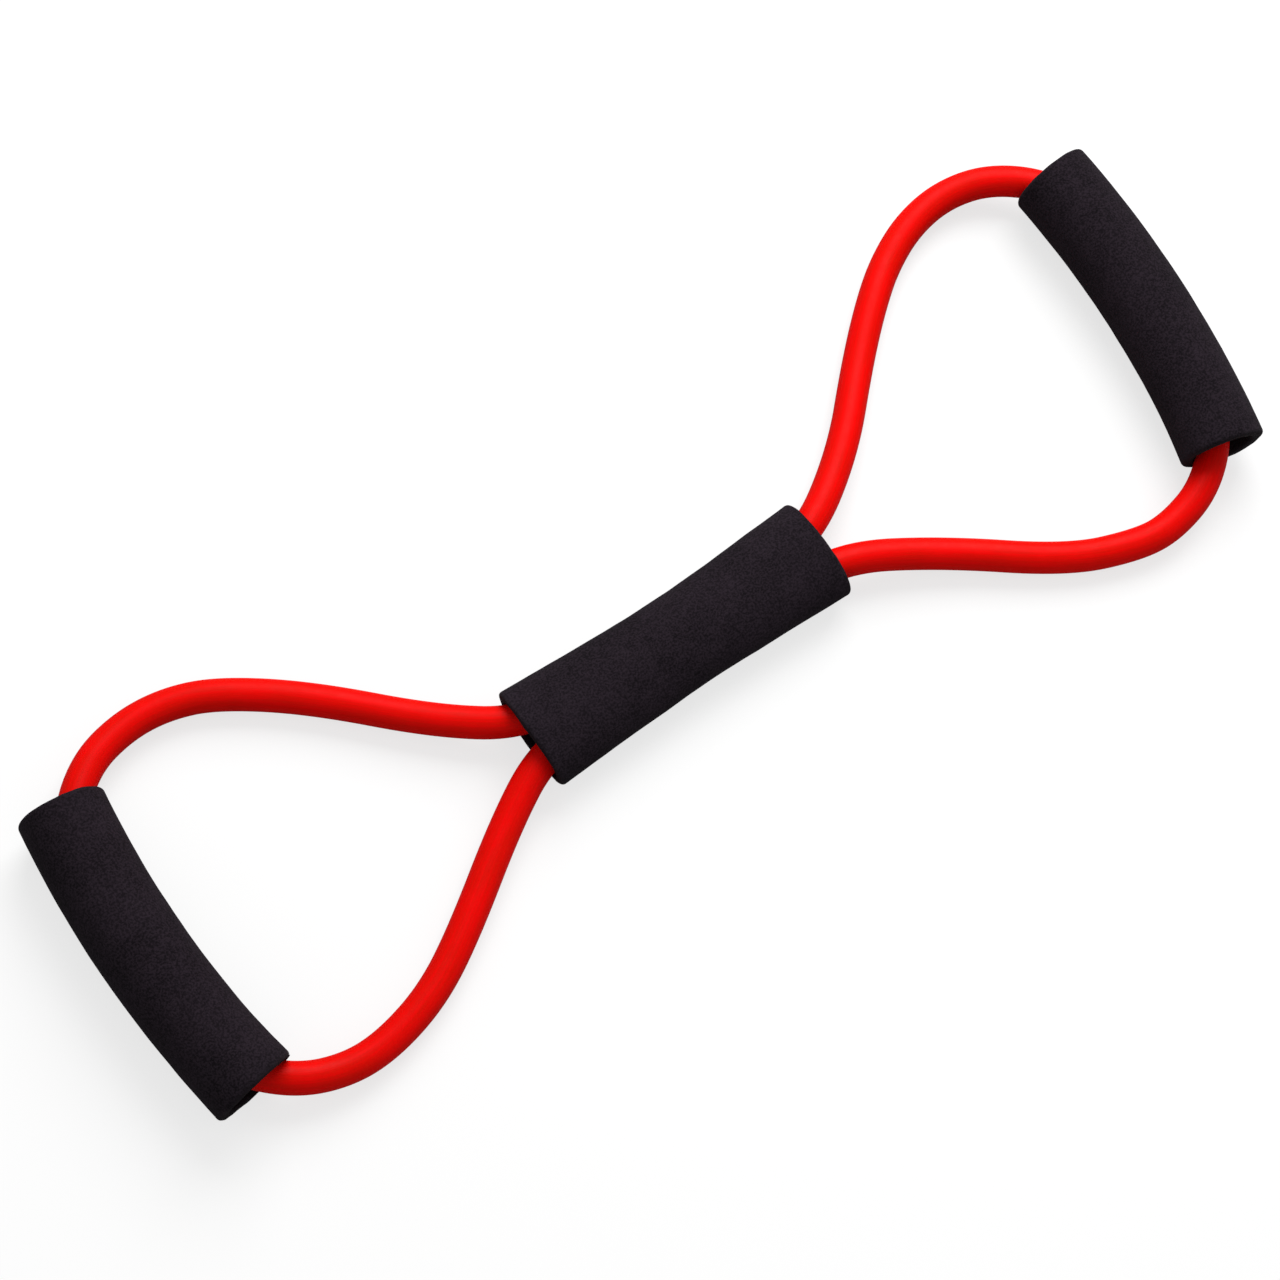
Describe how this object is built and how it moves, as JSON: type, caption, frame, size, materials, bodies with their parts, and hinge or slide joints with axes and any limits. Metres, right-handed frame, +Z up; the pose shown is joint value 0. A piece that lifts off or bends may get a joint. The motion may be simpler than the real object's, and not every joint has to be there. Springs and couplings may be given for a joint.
{
  "type": "resistance band",
  "caption": "Figure-eight resistance band: elastic tube in two loops, with a bowed foam grip on each loop and an oval foam sleeve over the crossing.",
  "frame": {"origin": "on the surface the band lies on, under the middle of the box round the three foam sleeves", "axes": "+X along the centre sleeve towards the right loop, +Y from the front strand to the rear strand, +Z up"},
  "size_m": [0.4363, 0.1516, 0.029],
  "materials": {
    "foam": "matte, fine closed-cell skin",
    "tube": "satin",
    "joiner": "natural nylon"
  },
  "bodies": {
    "centre": {"centre_foam": "foam", "joiner_rear": "joiner", "joiner_front": "joiner"},
    "left_loop": {"left_tube": "tube"},
    "left_grip": {"left_grip_foam": "foam"},
    "right_loop": {"right_tube": "tube"},
    "right_grip": {"right_grip_foam": "foam"}
  },
  "joints": [
    {"name": "left_pull", "type": "slide", "parent": "centre", "child": "left_loop", "axis": [-1, 0, 0], "range_m": [0, 0.15], "stiffness_N_per_m": 450, "deforming": ["left_tube"]},
    {"name": "left_spin", "type": "hinge", "parent": "left_loop", "child": "left_grip", "pos_m": [-0.2018, 0.0027, 0.0145], "axis": [-0.0105, 0.9999, 0], "range_deg": [-30, 30]},
    {"name": "right_pull", "type": "slide", "parent": "centre", "child": "right_loop", "axis": [1, 0, 0], "range_m": [0, 0.15], "stiffness_N_per_m": 450, "deforming": ["right_tube"]},
    {"name": "right_spin", "type": "hinge", "parent": "right_loop", "child": "right_grip", "pos_m": [0.2004, -0.0004, 0.0145], "axis": [0.108, 0.9942, 0], "range_deg": [-30, 30]}
  ]
}
